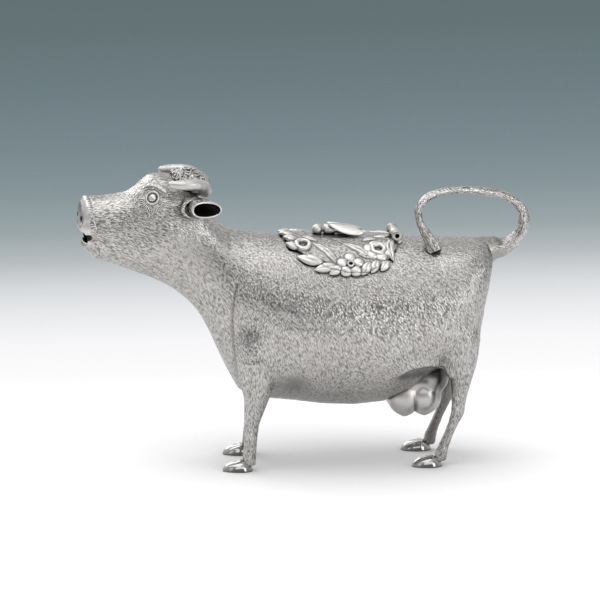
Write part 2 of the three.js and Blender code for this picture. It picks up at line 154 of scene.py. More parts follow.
def ring_faces(rings, sides):
    """The faces of a tube of rings of points, with a cap at each end."""
    faces = []
    for r in range(rings - 1):
        for c in range(sides):
            d = (c + 1) % sides
            faces.append((r * sides + c, r * sides + d, (r + 1) * sides + d, (r + 1) * sides + c))
    faces.append(tuple(reversed(range(sides))))
    faces.append(tuple(range((rings - 1) * sides, rings * sides)))
    return faces


def points(mesh):
    """A mesh's points in mm."""
    flat = np.empty(len(mesh.vertices) * 3)
    mesh.vertices.foreach_get("co", flat)
    return flat.reshape(-1, 3) / MM


def set_points(mesh, where):
    mesh.vertices.foreach_set("co", (where * MM).ravel())
    mesh.update()


def normals(mesh):
    flat = np.empty(len(mesh.vertices) * 3)
    mesh.vertices.foreach_get("normal", flat)
    return flat.reshape(-1, 3)


def set_attribute(mesh, name, values):
    attribute = mesh.attributes.get(name) or mesh.attributes.new(name, "FLOAT", "POINT")
    attribute.data.foreach_set("value", np.asarray(values, np.float32))


def get_attribute(mesh, name):
    values = np.empty(len(mesh.vertices), np.float32)
    mesh.attributes[name].data.foreach_get("value", values)
    return values


def point_tree(spots, chosen):
    """A search tree over the chosen points."""
    tree = kdtree.KDTree(len(chosen))
    for i in chosen:
        tree.insert(spots[i], int(i))
    tree.balance()
    return tree


def one_side(where):
    """Points with the right side laid over the left."""
    laid = where.copy()
    laid[:, 1] = np.abs(where[:, 1])
    return laid


def ramp(values, start, end):
    """Nought up to the start, one from the end on, and even between."""
    return np.clip((values - start) / (end - start), 0, 1)


def turns(count):
    """The angles that divide a turn evenly."""
    return [2 * math.pi * c / count for c in range(count)]


def polar(centre, radius, angle):
    return centre[0] + radius * math.cos(angle), centre[1] + radius * math.sin(angle)


# ---- Chased hair ----
def side_flow(where):
    """The hair's direction at points, before it is laid along the surface."""
    stations = np.array(HAIR_FLOW, float)
    gap = (where[:, None, 0] - stations[None, :, 0]) ** 2 + (where[:, None, 2] - stations[None, :, 1]) ** 2
    weight = 1 / (gap + 30) ** 2
    angle = np.radians(stations[:, 2])
    across = (weight * np.cos(angle)).sum(1)
    up = (weight * np.sin(angle)).sum(1)
    return np.stack([across, np.zeros(len(where)), up], 1)


def set_lie(mesh, along):
    """Stores which way the hair lies in the side view, in degrees, for the material's finest strokes."""
    angle = np.arctan2(along[:, 2], along[:, 0])
    set_attribute(mesh, "lie", np.degrees(np.where(angle > math.pi / 2, angle - 2 * math.pi, angle)))


def comb(mesh, flow, allowed=None, length=STROKE_LENGTH, width=STROKE_WIDTH, height=STROKE_HEIGHT,
         cover=HAIR_COVER, stray=0.16):
    """Raises overlapping strokes along a flow, and stores their valleys as the 'groove' attribute."""
    where, facing = points(mesh), normals(mesh)
    mesh.calc_loop_triangles()
    tris = np.empty(len(mesh.loop_triangles) * 3, np.int64)
    mesh.loop_triangles.foreach_get("vertices", tris)
    tris = tris.reshape(-1, 3)
    if allowed is not None:
        tris = tris[allowed[tris].all(1)]
    a, b, c = where[tris[:, 0]], where[tris[:, 1]], where[tris[:, 2]]
    area = np.linalg.norm(np.cross(b - a, c - a), axis=1) / 2
    count = int(area.sum() * cover / (length * width))
    chosen = rng.choice(len(tris), count, p=area / area.sum())
    u, v = rng.random((2, count))
    flip = u + v > 1
    u[flip], v[flip] = 1 - u[flip], 1 - v[flip]
    centre = a[chosen] + u[:, None] * (b - a)[chosen] + v[:, None] * (c - a)[chosen]
    normal = facing[tris[chosen, 0]]
    along = flow(centre)
    along = along - (along * normal).sum(1, keepdims=True) * normal
    along /= np.maximum(np.linalg.norm(along, axis=1, keepdims=True), 1e-6)
    across = np.cross(normal, along)
    turn = rng.normal(0, stray, count)
    along = along * np.cos(turn)[:, None] + across * np.sin(turn)[:, None]
    across = np.cross(normal, along)

    usable = range(len(where)) if allowed is None else np.flatnonzero(allowed)
    tree = point_tree(where, usable)
    lift = np.zeros(len(where))
    half_length = length * rng.uniform(0.35, 0.65, count)
    half_width = width * rng.uniform(0.38, 0.62, count)
    tall = height * rng.uniform(0.55, 1.0, count)
    for k in range(count):
        near = tree.find_range(centre[k], half_length[k])
        if not near:
            continue
        index = np.fromiter((n[1] for n in near), np.int64, len(near))
        offset = where[index] - centre[k]
        p = np.abs(offset @ along[k]) / half_length[k]
        q = np.abs(offset @ across[k]) / half_width[k]
        ridge = tall[k] * np.clip(1 - p * p, 0, 1) * np.clip(1 - q * q, 0, 1)
        lift[index] = np.maximum(lift[index], ridge)
    set_attribute(mesh, "groove", 1 - lift / height)
    set_lie(mesh, flow(where))
    set_points(mesh, where + facing * lift[:, None])


def distance_to_line(where, line):
    """Distance in the side view from points to a line of [x, z] points."""
    best = np.full(len(where), 1e9)
    spots = where[:, [0, 2]]
    for start, end in zip(line, line[1:]):
        start, end = np.array(start, float), np.array(end, float)
        step = end - start
        t = np.clip((spots - start) @ step / (step @ step), 0, 1)
        best = np.minimum(best, np.linalg.norm(spots - start - t[:, None] * step, axis=1))
    return best


def bell(distance, width):
    return np.exp(-((distance / width) ** 2))


def near_line(where, line, width):
    """One on a line of [x, z] points, and falling off to nothing either side of it."""
    return bell(distance_to_line(where, line), width)


# ---- Materials ----
BLACKENED = (0.03, 0.028, 0.026)  # what is left in the hollows when the silver is polished, and the colour of the painted shade
HAIR_TURNS = 6  # the directions that the finest strokes are drawn in, spread over half a turn
FINE_STROKE = (1.4, 0.32)  # length and spacing of the finest strokes, mm


def add_node(tree, kind, inputs=None, **settings):
    """A new node with its settings, and its inputs given a value or the output that makes one."""
    node = tree.nodes.new("ShaderNode" + kind)
    for name, value in settings.items():
        setattr(node, name, value)
    for name, value in (inputs or {}).items():
        if isinstance(value, bpy.types.NodeSocket):
            tree.links.new(value, node.inputs[name])
        else:
            node.inputs[name].default_value = value
    return node


def math_node(tree, operation, *values):
    return add_node(tree, "Math", dict(enumerate(values)), operation=operation).outputs["Value"]


def spread(tree, value, low, high, to_low=0.0, to_high=1.0, curve="LINEAR"):
    """A value moved from one range to another, and held inside it."""
    ranges = {"Value": value, "From Min": low, "From Max": high, "To Min": to_low, "To Max": to_high}
    return add_node(tree, "MapRange", ranges, interpolation_type=curve).outputs["Result"]


def attribute(tree, name):
    return add_node(tree, "Attribute", attribute_name=name).outputs["Fac"]


def own_place(tree):
    """The place on the object itself, in m."""
    return add_node(tree, "TexCoord").outputs["Object"]


def noise(tree, scale, detail):
    settings = {"Vector": own_place(tree), "Scale": scale, "Detail": detail}
    return add_node(tree, "TexNoise", settings).outputs["Fac"]


def mixed_color(tree, share, first, second):
    """One colour that turns into another as the share goes from 0 to 1."""
    inputs = {"Factor": share, "A": (*first, 1), "B": (*second, 1)}
    return add_node(tree, "Mix", inputs, data_type="RGBA").outputs["Result"]


def graded_color(tree, value, grades):
    """A colour that follows a value through [value, colour] grades, from 0 to 1."""
    node = add_node(tree, "ValToRGB", {"Fac": value})
    stops = node.color_ramp.elements
    for stop, (position, color) in zip(stops, (grades[0], grades[-1])):
        stop.position, stop.color = position, (*color, 1)
    for position, color in grades[1:-1]:
        stops.new(position).color = (*color, 1)
    return node.outputs["Color"]


def fine_hair(tree):
    """The finest strokes: cells stretched along the lie of the hair. Gives their height and tone."""
    here = own_place(tree)
    lie = attribute(tree, "lie")
    step = 180 / HAIR_TURNS
    length, gap = FINE_STROKE[0] * MM, FINE_STROKE[1] * MM
    height, tone = 0.0, 0.0
    for k in range(HAIR_TURNS):
        turn = -90 + step * k
        stretch = {"Vector": here, "Rotation": (0, -math.radians(turn), 0), "Scale": (length, gap, gap)}
        stretched = add_node(tree, "Mapping", stretch, vector_type="TEXTURE")
        cells = add_node(tree, "TexVoronoi", {"Vector": stretched.outputs["Vector"], "Scale": 1.0})
        shade = add_node(tree, "SeparateColor", {"Color": cells.outputs["Color"]})
        off = math_node(tree, "WRAP", math_node(tree, "SUBTRACT", lie, turn), 90, -90)
        off = math_node(tree, "ABSOLUTE", off)
        share = spread(tree, off, 0, step, 1, 0)
        dome = math_node(tree, "SUBTRACT", 1.0, cells.outputs["Distance"])
        height = math_node(tree, "MULTIPLY_ADD", dome, share, height)
        tone = math_node(tree, "MULTIPLY_ADD", shade.outputs["Red"], share, tone)
    return height, tone


def silver(name, bright, rough, tarnish, dent, dent_scale=900.0, hair=False):
    """Silver with black left in its hollows, and uneven roughness and wear."""
    material = bpy.data.materials.new(name)
    material.use_nodes = True
    tree = material.node_tree
    shader = tree.nodes["Principled BSDF"]
    shader.inputs["Metallic"].default_value = 1.0
    cloud = noise(tree, 55.0, 5.0)
    relief = noise(tree, dent_scale, 3.0)
    roughness = spread(tree, cloud, 0.3, 0.7, rough * 0.75, rough * 1.35)
    tree.links.new(roughness, shader.inputs["Roughness"])

    hollow = add_node(tree, "AmbientOcclusion", {"Distance": 1.6 * MM}, samples=4)
    dark = spread(tree, hollow.outputs["AO"], 0.9, 0.3, 0.0, tarnish)
    if hair:
        valley = spread(tree, attribute(tree, "groove"), 0.55, 1.0, 0.0, 0.25)
        height, tone = fine_hair(tree)
        gap = spread(tree, height, 0.62, 0.3, 0.0, 0.6)
        shade = spread(tree, tone, 0.1, 0.9, 0.0, 0.16)
        dark = math_node(tree, "MAXIMUM", dark, math_node(tree, "MAXIMUM", valley, gap))
        dark = math_node(tree, "ADD", dark, shade)
        relief = math_node(tree, "MULTIPLY_ADD", relief, 0.15, height)
    # Painted shade, and a darker tone where one is given, from the meshes' attribute.
    dark = math_node(tree, "MAXIMUM", dark, attribute(tree, "tone_and_painted_shade"))
    tree.links.new(mixed_color(tree, dark, bright, BLACKENED), shader.inputs["Base Color"])

    depth = (0.12 if hair else 0.05) * MM
    bump = add_node(tree, "Bump", {"Strength": dent, "Distance": depth, "Height": relief})
    tree.links.new(bump.outputs["Normal"], shader.inputs["Normal"])
    return material


CHASED = silver("chased silver", (0.62, 0.604, 0.582), 0.22, 0.9, dent=0.9, hair=True)
POLISHED = silver("polished silver", (0.62, 0.61, 0.595), 0.13, 0.95, dent=0.12, dent_scale=300)
SATIN = silver("satin silver", (0.58, 0.565, 0.55), 0.36, 0.95, dent=0.15, dent_scale=300)
BORDER = silver("garland silver", (0.70, 0.69, 0.67), 0.40, 1.0, dent=0.15)
INSIDE = silver("inside silver", (0.60, 0.575, 0.54), 0.34, 0.9, dent=0.1)
# Near-black silver for painted shade in the nostrils, the mouth and the insides of the ears.
PAINTED_SHADE_BLACK = silver("painted-shade silver", (0.06, 0.056, 0.052), 0.45, 0.9, dent=0.2)


# ---- Coat: body and legs as one skin ----
COAT_CUTS = [-32, -10, 10, 30]  # where each side of the body is cut across into pieces
JOINS = [((-20, 18.5, 45.3), 9), ((56, 10, 42.5), 8)]  # where the legs run into the body, and how widely
LEG_TOPS = [(-19, 45, 4.4), (53, 44.5, 4.0)]  # x, z and reach of the crevices round the legs' upper ends
COAT_NODES = ["body_left", "body_right", "foreleg_left", "foreleg_right", "hind_leg_left", "hind_leg_right"]


def enclosed(tree, where, facing):
    """True where every straight way out is blocked, as it is on the vessel's inner wall."""
    ways = [Vector(w) for w in ((0, -1, 0), (0, 1, 0), (0, 0, -1), (-1, 0, 0), (1, 0, 0))]
    start = Vector(where) * MM + Vector(facing) * 0.3 * MM
    if tree.ray_cast(start, Vector(facing))[0] is None:
        return False
    return all(tree.ray_cast(start, way)[0] is not None for way in ways)


def refine(obj):
    """Halves the faces of the outer wall, and marks its points in the 'outer' attribute."""
    mesh = obj.data
    tree = BVHTree.FromObject(obj, bpy.context.evaluated_depsgraph_get())
    where, facing = points(mesh), normals(mesh)
    inner = np.array([enclosed(tree, w, f) for w, f in zip(where, facing)])
    set_attribute(mesh, "outer", 1.0 - inner)
    work = bmesh.new()
    work.from_mesh(mesh)
    layer = work.verts.layers.float["outer"]
    edges = [e for e in work.edges if e.verts[0][layer] > 0.5 and e.verts[1][layer] > 0.5]
    bmesh.ops.subdivide_edges(work, edges=edges, cuts=1, use_grid_fill=True)
    work.to_mesh(mesh)
    work.free()
    mesh.shade_smooth()


def relax(mesh, centre, reach, rounds=120):
    """Smooths a mesh inside a ball, on both sides."""
    near = np.linalg.norm(one_side(points(mesh)) - centre, axis=1) < reach
    work = bmesh.new()
    work.from_mesh(mesh)
    work.verts.ensure_lookup_table()
    chosen = [work.verts[i] for i in np.flatnonzero(near)]
    every_way = dict(use_axis_x=True, use_axis_y=True, use_axis_z=True)
    for _ in range(rounds):
        bmesh.ops.smooth_vert(work, verts=chosen, factor=0.5, **every_way)
    work.to_mesh(mesh)
    work.free()


def sculpt_coat(mesh):
    """Creases, the brow and the bones that show under the hide, and painted shade where the silver is dark.
    """
    where, facing = points(mesh), normals(mesh)
    x, y, z = where.T  # views, so what is done to them is done to the points
    x -= 1.3 * ramp(x, 44, 52) * ramp(z, 42, 52) * ramp(z, 74, 69)
    side = ramp(np.abs(y), 5, 9)
    crease = near_line(where, SHOULDER_CREASE, 0.7)
    swell = near_line(where, [(-22.4, 58), (-22, 44), (-20.5, 30)], 3.2)
    lip = near_line(where, FLANK_FOLD, 1.1)
    below = near_line(where, [(33, 30.5), (40, 31), (44.5, 29.5)], 3.2) * (z < 36)
    brow = near_line(where, [(-54.8, 93.4), (-52.5, 94.9), (-49.5, 94.9), (-47, 93)], 1.1)
    socket = bell(np.hypot(x - EYE[0], z - EYE[1]), 3.0)
    jaw = near_line(where, [(-60, 73), (-53, 73), (-46, 78)], 4.5)
    hip = bell(np.linalg.norm(one_side(where) - (52, 14, 66), axis=1), 6)
    forehead = near_line(where, [(-53, 96.5), (-48, 98.5)], 2.6)
    lift = side * (-0.65 * crease + 0.5 * swell + 0.9 * lip - 0.6 * below)
    lift += side * (0.65 * brow - 0.5 * socket + 0.5 * jaw + 0.7 * hip)
    lift += 0.8 * forehead * np.clip(facing[:, 2], 0, 1)
    z -= 1.4 * ramp(z, 5.6, 4.1)
    inward = ramp(-facing[:, 1] * np.sign(y), 0, 0.5) * ramp(z, 31, 25)
    armpit = bell(np.hypot((x + 5) * 0.7, z - 29), 4.6)
    neck = near_line(where, [(-40, 78), (-32, 72)], 10)
    flank = bell(np.hypot((x - 2) * 0.6, z - 52), 9)
    arch = near_line(where, [(31, 30.5), (39, 31.5), (44, 29.5), (46, 26)], 2.6) * (z < 34.5)
    behind_ear = bell(np.hypot(x + 38, z - 87), 4.5)
    under_horn = near_line(where, [(-44, 92.5), (-37, 91.5), (-34, 89)], 2.0)
    seam = near_line(where, SHOULDER_CREASE, 0.5)
    # Painted shade: on the inner sides of the legs low down, in the armpits, on the neck and the flank, under
    # the flank fold, behind the ears, under the horns and along the shoulder creases.
    tone_and_painted_shade = 0.72 * inward + 0.62 * armpit + 0.42 * neck + 0.10 * flank
    tone_and_painted_shade += side * (0.75 * arch + 0.55 * (behind_ear + under_horn) + 0.5 * seam)
    set_attribute(mesh, "tone_and_painted_shade", np.clip(tone_and_painted_shade, 0, 0.9))
    set_points(mesh, where + facing * (lift * get_attribute(mesh, "outer"))[:, None])


def split_coat(coat):
    """The coat cut back into its pieces along the CAD pieces' borders, shaded as one surface."""
    mesh = coat.data
    owner, corners, faces = [], [], []
    for k, node in enumerate(COAT_NODES):
        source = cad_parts[node].data
        base = len(corners)
        corners.extend(v.co for v in source.vertices)
        faces.extend([base + i for i in p.vertices] for p in source.polygons)
        owner.extend([k] * len(source.polygons))
    tree = BVHTree.FromPolygons(corners, faces)
    where, facing = points(mesh), normals(mesh)
    groove, outer, lie, tone_and_painted_shade = (get_attribute(mesh, name) for name in ("groove", "outer", "lie", "tone_and_painted_shade"))
    shares = {}
    for p in mesh.polygons:
        node = COAT_NODES[owner[tree.find_nearest(p.center)[2]]]
        part = 0
        if node.startswith("body"):
            part = sum(p.center.x > cut * MM for cut in COAT_CUTS)
        shares.setdefault((node, part), []).append(tuple(p.vertices))
    for (node, part), mine in sorted(shares.items()):
        used = np.unique([v for p in mine for v in p])
        renumber = {int(v): i for i, v in enumerate(used)}
        name = f"coat_{node}_{part}" if node.startswith("body") else "coat_" + node
        piece = mesh_object(name, where[used], [tuple(renumber[i] for i in p) for p in mine], CHASED)
        set_attribute(piece.data, "lie", lie[used])
        set_attribute(piece.data, "tone_and_painted_shade", tone_and_painted_shade[used])
        set_attribute(piece.data, "groove", groove[used] * outer[used] + 0.4 * (1 - outer[used]))
        piece.data.materials.append(INSIDE)
        lined = outer[used] < 0.5
        piece.data.polygons.foreach_set(
            "material_index", [int(lined[list(p.vertices)].all()) for p in piece.data.polygons])
        piece.data.normals_split_custom_set_from_vertices([Vector(n) for n in facing[used]])
        place(piece, "jug", "chased_silver", node)
    bpy.data.objects.remove(coat)


def coat_solids():
    """The body's and the legs' meshes joined, with lenses in the wall that close the crevices there."""
    joined = bmesh.new()
    joined.from_mesh(welded(*COAT_NODES))
    for side, sign in SIDES:
        wall = BVHTree.FromObject(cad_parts["body_" + side], bpy.context.evaluated_depsgraph_get())
        for x, z, reach in LEG_TOPS:
            spot, normal, _, _ = wall.ray_cast(Vector((x, sign * 40, z)) * MM, Vector((0, -sign, 0)))
            turn = normal.to_track_quat("Y", "Z").to_matrix().to_4x4()
            size = Matrix.Diagonal((reach * MM, 0.9 * MM, reach * MM, 1))
            matrix = Matrix.Translation(spot - normal * 0.6 * MM) @ turn @ size
            bmesh.ops.create_icosphere(joined, subdivisions=4, radius=1, matrix=matrix)
    return mesh_from(joined, "coat_solids")


def make_coat():
    coat = skinned("coat", coat_solids(), 0.44, swell=0.2, smooth=16)
    for centre, reach in JOINS:
        relax(coat.data, centre, reach)
    refine(coat)
    mesh = coat.data
    sculpt_coat(mesh)
    bare = BVHTree.FromObject(coat, bpy.context.evaluated_depsgraph_get())
    comb(mesh, side_flow, allowed=get_attribute(mesh, "outer") > 0.5)
    split_coat(coat)
    return bare


# ---- Lid ----
LID_AXIS_Z = 50  # the lid wraps round a line at this height; places on it are [x, arc length from the ridge]
LID_RADIUS = 26
LID_RISE = 1.0  # how far the lid's top stands above the coat, for ornament that overhangs its edge


def wrap(lid, coat, x, s, h):
    """The point at height h above the lid, for x and arc length s, positive to the left."""
    angle = s / LID_RADIUS
    out = Vector((0, -math.sin(angle), math.cos(angle)))
    start = (Vector((x, 0, LID_AXIS_Z)) + out * 40) * MM
    hit, normal, _, _ = lid.ray_cast(start, -out)
    if hit is None or normal.dot(out) < 0.5:
        hit, normal, _, _ = coat.ray_cast(start, -out)
        h += LID_RISE
    return hit / MM + normal * h


def sheet_faces(rows, columns):
    """The faces of a grid of points, of a second grid under it, and of the wall round the two."""
    size = rows * columns
    grid = np.arange(size).reshape(rows, columns)
    top = np.stack([grid[:-1, :-1], grid[1:, :-1], grid[1:, 1:], grid[:-1, 1:]], 2).reshape(-1, 4)
    rim = np.concatenate([grid[0], grid[1:, -1], grid[-1, -2::-1], grid[-2:0:-1, 0]])
    onward = np.roll(rim, -1)
    walls = np.stack([rim, onward, onward + size, rim + size], 1)
    return np.concatenate([top, top[:, ::-1] + size, walls]).tolist()


class Relief:
    """Raised ornament laid on the lid, gathered into one mesh of closed shells, alike on both sides."""

    FOOT = -0.3  # how deep the shells are sunk into the lid

    def __init__(self, lid, coat):
        self.lid = lid
        self.coat = coat
        self.verts = []
        self.faces = []
        self.painted_shades = []

    def add(self, spots, faces, painted_shades):
        for side in (1, -1):
            base = len(self.verts)
            self.verts.extend(wrap(self.lid, self.coat, x, s * side, h) for x, s, h in spots)
            self.faces.extend(tuple(base + i for i in (f if side > 0 else f[::-1])) for f in faces)
            self.painted_shades.extend(painted_shades)

    def leaf(self, root, tip, width, height=0.9, bend=0.0, vein=0.3, ribs=0, rows=19, columns=15):
        """A pointed leaf with a sunk midrib, cupped halves and, where asked, ribs fanning from the midrib."""
        root, tip = np.array(root, float), np.array(tip, float)
        along = tip - root
        across = np.array([-along[1], along[0]]) / np.linalg.norm(along)
        top, foot, painted_shades = [], [], []
        for r in range(rows):
            t = r / (rows - 1)
            belly = max(math.sin(math.pi * t ** 0.85), 0) ** 0.7
            half = width / 2 * max(belly, 0.03)
            middle = root + along * t + across * bend * math.sin(math.pi * t)
            for c in range(columns):
                q = 2 * c / (columns - 1) - 1
                edge = math.sqrt(max(1 - abs(q) ** 3, 0))
                rib = vein * math.exp(-((q / 0.14) ** 2)) * belly
                fan = 0.13 * math.cos(ribs * (t * 3.2 - abs(q) * 1.3)) * belly if ribs else 0
                spot = middle + across * half * q
                h = self.FOOT + (height - self.FOOT) * edge * (0.3 + 0.7 * belly) - (rib - fan) * edge
                top.append((spot[0], spot[1], h))
                foot.append((spot[0], spot[1], self.FOOT - 0.05))
                # Painted shade: darker in the sunk midrib and between the ribs, and towards the edges where
                # the leaf slopes down to the lid.
                painted_shades.append(min(0.9, 2.2 * (rib + max(-fan, 0)) + 0.6 * (1 - edge)))
        self.add(top + foot, sheet_faces(rows, columns), painted_shades + [0.9] * len(foot))

    def button(self, centre, profile, petals=0, wave=0.0, columns=40):
        """A round ornament from [radius, height, painted shade] points, its rim waved into petals."""
        spots, painted_shades = [], []
        for radius, height, tone in profile:
            for angle in turns(columns):
                reach = radius * (1 + wave * math.cos(petals * angle))
                spots.append((*polar(centre, reach, angle), height))
                painted_shades.append(tone)
        self.add(spots, [f[::-1] for f in ring_faces(len(profile), columns)], painted_shades)

    def petals(self, centre, count, turn, reach, profile, **waved):
        """Buttons in a ring round a centre."""
        for k in range(count):
            self.button(polar(centre, reach, 2 * math.pi * (k + turn) / count), profile, **waved)


def ring_profile(outer, inner, height, steps=9):
    """From under the rim, over a round ring, down into its middle, with painted shade on the ring's sides and
    darkest in the middle.
    """
    foot = Relief.FOOT
    middle, half = (outer + inner) / 2, (outer - inner) / 2
    arc = [math.pi * i / (steps - 1) for i in range(steps)]
    ring = [
        (middle + half * math.cos(a), foot + (height - foot) * math.sin(a) ** 0.7, 0.7 * (1 - math.sin(a)))
        for a in arc[:-2]
    ]
    floor = [(inner * 1.05, 0.35, 0.85), (inner * 0.9, 0.05, 0.95), (inner * 0.4, 0.0, 0.9), (0.02, 0.1, 0.6)]
    return [(0.02, foot, 0.9), (outer, foot, 0.9)] + ring + floor


def dome_profile(radius, height, steps=8):
    foot = Relief.FOOT
    arc = [math.pi / 2 * i / (steps - 1) for i in range(steps)]
    dome = []
    for a in arc:
        rise = math.sin(a)
        level = foot + (height - foot) * rise ** 0.8
        # Painted shade, darker down the dome's sides.
        dome.append((radius * math.cos(a) + 0.02, level, 0.7 * (1 - rise) ** 2))
    return [(0.02, foot, 0.9)] + dome


# Leaves of the garland on one side, as root, tip and width: along the edge, then the long ones inside it.
EDGE_LEAVES = [
    ((-4.0, 3.6), (-8.5, 1.2), 3.1), ((-3.4, 7.0), (-7.6, 5.2), 3.0), ((-3.2, 11.6), (-7.2, 9.0), 2.5),
    ((4.6, 17.6), (-4.0, 14.9), 4.1), ((8.6, 18.8), (1.4, 20.1), 3.6), ((10.4, 19.4), (6.2, 21.9), 3.3),
    ((20.2, 17.6), (17.0, 22.4), 3.4), ((22.9, 17.0), (20.2, 21.6), 3.3), ((26.4, 17.0), (23.4, 20.9), 3.3),
]
LONG_LEAVES = [
    ((8.8, 18.0), (1.6, 8.8), 3.0, 0.9), ((9.3, 17.6), (6.6, 11.8), 1.9, -0.6),
    ((7.6, 18.2), (0.6, 14.0), 1.8, 0.3), ((20.6, 16.3), (11.6, 8.9), 3.0, 0.8),
    ((21.4, 15.8), (16.2, 14.2), 1.8, -0.3),
]
SCROLLS = [
    ((27.8, 17.0), (29.8, 4.6), 3.2, -1.6), ((22.6, 4.4), (29.2, 1.6), 2.2, 0.8),
    ((27.2, 6.6), (27.4, 12.4), 1.8, -0.8), ((-1.0, 4.8), (3.6, 7.4), 1.9, 0.4),
    ((18.6, 7.4), (23.4, 6.2), 1.6, -0.5),
]


def make_garland(lid, coat):
    garland = Relief(lid, coat)
    for root, tip, width in EDGE_LEAVES:
        garland.leaf(root, tip, width, vein=0.22)
    for root, tip, width, bend in LONG_LEAVES:
        garland.leaf(root, tip, width, height=0.7, bend=bend, ribs=7)
    for root, tip, width, bend in SCROLLS:
        garland.leaf(root, tip, width, height=0.75, bend=bend, vein=0.4)
    garland.button((-1.5, 10.0), ring_profile(3.0, 1.2, 1.2), petals=9, wave=0.02)
    heart = (13.5, 18.7)
    garland.petals(heart, 5, 0.75, 2.8, dome_profile(1.95, 0.95), petals=2, wave=0.05)
    garland.button(heart, ring_profile(1.35, 0.5, 1.35), petals=6, wave=0.03)
    rose = (23.3, 12.3)
    garland.petals(rose, 6, 0.25, 3.0, dome_profile(2.1, 0.7))
    garland.button(rose, ring_profile(3.0, 1.0, 1.3), petals=5, wave=0.05)
    obj = solid("lid_garland_relief", garland.verts, garland.faces, BORDER)
    set_attribute(obj.data, "tone_and_painted_shade", garland.painted_shades)
    place(obj, "lid", "polished_silver", "lid_garland")
    return obj


def outline(mesh, ornament, reach=0.5):
    """Paints shade on a mesh round the foot of the ornament that lies on it, and the shadow under the fly."""
    spots = points(ornament.data)
    tree = point_tree(spots, range(len(spots)))
    where = points(mesh)
    gap = np.array([tree.find(spot)[2] for spot in where])
    shadow = bell(where[:, 1], 4.0) * ramp(where[:, 0], 2.5, 5.5) * ramp(where[:, 0], 20, 16)
    set_attribute(mesh, "tone_and_painted_shade", np.clip(0.85 * bell(gap, reach) + 0.7 * shadow, 0, 0.95))


def make_lid(coat):
    voxel = 0.26
    plate = skinned("lid_plate_chased", welded("lid_plate"), voxel, swell=0.12, smooth=6, material=CHASED)
    lid = BVHTree.FromObject(plate, bpy.context.evaluated_depsgraph_get())
    garland = make_garland(lid, coat)
    top = normals(plate.data)[:, 2] > -0.1
    comb(plate.data, side_flow, allowed=top, length=1.7, width=0.5, height=0.12)
    outline(plate.data, garland)
    place(plate, "lid", "chased_silver", "lid_plate")
    bezel = skinned("lid_bezel_ring", welded("lid_bezel"), 0.25, smooth=4, material=INSIDE)
    place(bezel, "lid", "polished_silver", "lid_bezel")


# ---- Turned and swept shapes ----
def turned(name, profile, origin, axis, sides, material):
    """A shape turned about an axis from [radius, distance along the axis] points, closed at both ends."""
    axis = Vector(axis).normalized()
    u = axis.orthogonal().normalized()
    v = axis.cross(u)
    verts = []
    for radius, along in profile:
        for angle in turns(sides):
            verts.append(Vector(origin) + axis * along + (u * math.cos(angle) + v * math.sin(angle)) * radius)
    return solid(name, verts, ring_faces(len(profile), sides), material)


def smooth_path(stations, steps):
    """Catmull-Rom through rows of numbers, at even steps of the row number."""
    rows = np.array(stations, float)
    out = []
    for i in range(steps + 1):
        t = i / steps * (len(rows) - 1)
        k = min(int(t), len(rows) - 2)
        f = t - k
        p0, p1, p2, p3 = rows[max(k - 1, 0)], rows[k], rows[k + 1], rows[min(k + 2, len(rows) - 1)]
        out.append(0.5 * (2 * p1 + (p2 - p0) * f + (2 * p0 - 5 * p1 + 4 * p2 - p3) * f * f
                          + (3 * p1 - p0 - 3 * p2 + p3) * f ** 3))
    return np.array(out)


def swept(name, path, sides, shape, material):
    """A tube along rows of [x, y, z, radius], its section scaled by shape(step, angle)."""
    verts = []
    u = Vector((0, 1, 0))
    for i, row in enumerate(path):
        ahead = Vector(path[min(i + 1, len(path) - 1)][:3]) - Vector(path[max(i - 1, 0)][:3])
        ahead.normalize()
        u = (u - ahead * u.dot(ahead)).normalized()
        v = ahead.cross(u)
        for angle in turns(sides):
            reach = row[3] * shape(i / (len(path) - 1), angle)
            verts.append(Vector(row[:3]) + (u * math.cos(angle) + v * math.sin(angle)) * reach)
    return solid(name, verts, ring_faces(len(path), sides), material)


def wire(name, rows, sides, material, shape=lambda t, angle: 1):
    """A tapered wire of silver on the jug, along rows of [x, y, z, radius]."""
    place(swept(name, rows, sides, shape, material), "jug", "chased_silver")


def taper(i, count, start=0.6):
    """How thick a wire is at row i: fine at both ends."""
    return math.sin(math.pi * (i + start) / (count - 1 + 2 * start))


# ---- Hinge and fly ----
HINGE = (30.2, 0, 76.2)


def make_hinge():
    outer = [
        (0.75, 0), (1.45, 0), (1.8, 0.15), (1.85, 0.5), (1.8, 0.9), (1.5, 1.1), (1.5, 3.7), (1.25, 3.9),
        (0.75, 3.9),
    ]
    for side, sign in SIDES:
        start = (HINGE[0], sign * 7.2, HINGE[2])
        tube = turned("hinge_tube_" + side, outer + [(0.75, 0)], start, (0, -sign, 0), 40, INSIDE)
        set_attribute(tube.data, "tone_and_painted_shade", np.full(len(tube.data.vertices), 0.3))
        place(tube, "jug", "polished_silver")
        start = (HINGE[0] + 0.5, sign * 6.65, HINGE[2] - 2.2)
        profile = [(0.02, 0), (1.0, 0.05), (1.35, 0.5), (1.4, 1.2), (1.3, 2.6), (0.02, 2.9)]
        foot = turned("hinge_foot_" + side, profile, start, (0, -sign, 0), 32, INSIDE)
        place(foot, "jug", "polished_silver", "hinge_knuckle_" + side)
    profile = [(0.75, 0), (1.35, 0), (1.5, 0.2), (1.5, 5.4), (1.35, 5.6), (0.75, 5.6), (0.75, 0)]
    middle = turned("hinge_tube_lid", profile, (HINGE[0], 2.8, HINGE[2]), (0, -1, 0), 40, INSIDE)
    place(middle, "lid", "polished_silver", "hinge_knuckle_lid")
    profile = [(0.02, 0), (0.5, 0.05), (0.68, 0.3), (0.68, 13.5), (0.5, 13.75), (0.02, 13.8)]
    pin = turned("hinge_pin_rod", profile, (HINGE[0], 6.9, HINGE[2]), (0, -1, 0), 24, INSIDE)
    place(pin, "jug", "polished_silver", "hinge_pin")


